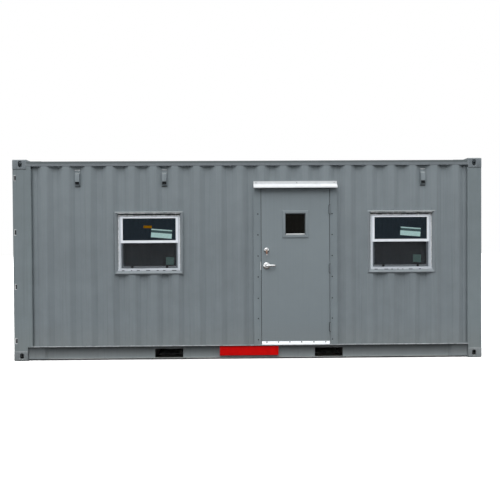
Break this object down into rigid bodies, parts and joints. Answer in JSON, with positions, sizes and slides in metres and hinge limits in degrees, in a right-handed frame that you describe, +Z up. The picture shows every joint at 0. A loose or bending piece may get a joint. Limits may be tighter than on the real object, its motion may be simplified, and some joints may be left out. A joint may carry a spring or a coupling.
{
  "type": "shipping container cabin",
  "caption": "Steel shipping container made into a site cabin: corrugated walls, framed entry door with lever, sash windows, cargo doors at one end, fork pockets and corner castings.",
  "frame": {"origin": "plan centre of the container, on the plane under the bottom corner castings", "axes": "+X along the container from the cargo doors to the blind end, -Y out of the long side with the entry door and windows, +Z up"},
  "size_m": [6.058, 2.488, 2.591],
  "materials": {
    "casting_paint": "eggshell",
    "frame_paint": "eggshell",
    "underframe_paint": "matt bitumen",
    "plywood": "worn varnish",
    "roof_paint": "eggshell",
    "wall_paint": "eggshell",
    "vent_paint": "eggshell",
    "cargo_door_paint": "eggshell",
    "gasket_rubber": "matt",
    "hardware_paint": "eggshell",
    "hardware_zinc": "galvanised",
    "surround_paint": "eggshell",
    "window_aluminium": "mill",
    "sash_aluminium": "mill",
    "window_glass": "clear",
    "insect_screen": "woven",
    "door_frame_paint": "eggshell",
    "threshold_aluminium": "mill",
    "drip_cap_aluminium": "mill",
    "satin_steel": "satin",
    "hinge_steel": "eggshell",
    "door_paint": "eggshell",
    "lite_frame_plastic": "eggshell",
    "door_glass": "clear",
    "sweep_aluminium": "mill",
    "satin_nickel": "satin"
  },
  "bodies": {
    "cabin": {"bottom_corner_castings": "casting_paint", "top_corner_castings": "casting_paint", "door_end_posts": "frame_paint", "blind_end_posts": "frame_paint", "top_side_rails": "frame_paint", "blind_end_top_rail": "frame_paint", "front_bottom_rail": "frame_paint", "back_bottom_rail": "frame_paint", "blind_end_sill": "frame_paint", "cargo_door_sill": "frame_paint", "cargo_door_header": "frame_paint", "cross_members": "underframe_paint", "fork_pocket_plates": "underframe_paint", "floor_boards": "plywood", "roof_panel": "roof_paint", "roof_corner_plates": "roof_paint", "back_wall": "wall_paint", "front_wall_left": "wall_paint", "front_wall_right": "wall_paint", "front_wall_over_door": "wall_paint", "blind_end_wall": "wall_paint", "vents": "vent_paint", "cargo_door_left": "cargo_door_paint", "cargo_door_right": "cargo_door_paint", "cargo_door_gasket": "gasket_rubber", "cargo_door_hinges": "hardware_paint", "lock_rods": "hardware_zinc", "lock_rod_brackets": "hardware_zinc", "cam_keepers": "hardware_paint", "lock_handles": "hardware_zinc", "handle_catches": "hardware_zinc", "window_surrounds": "surround_paint", "window_frames": "window_aluminium", "window_sashes": "sash_aluminium", "window_glass": "window_glass", "window_screens": "insect_screen", "door_surround": "surround_paint", "entry_door_frame": "door_frame_paint", "door_threshold": "threshold_aluminium", "drip_cap": "drip_cap_aluminium", "strike_plate": "satin_steel", "door_hinges_frame": "hinge_steel"},
    "entry_door": {"door_slab": "door_paint", "door_lite_frame": "lite_frame_plastic", "door_glass": "door_glass", "door_sweep": "sweep_aluminium", "door_locks": "satin_nickel", "door_hinges_leaf": "hinge_steel"},
    "door_lever": {"door_levers": "satin_nickel"}
  },
  "joints": [
    {"name": "entry_door_swing", "type": "hinge", "parent": "cabin", "child": "entry_door", "pos_m": [1.0515, -1.225, 1.168], "axis": [0, 0, 1], "range_deg": [0, 165]},
    {"name": "lever_turn", "type": "hinge", "parent": "entry_door", "child": "door_lever", "pos_m": [0.2315, -1.2, 1.208], "axis": [0, 1, 0], "range_deg": [0, 45], "stiffness_Nm_per_rad": 1.5}
  ]
}
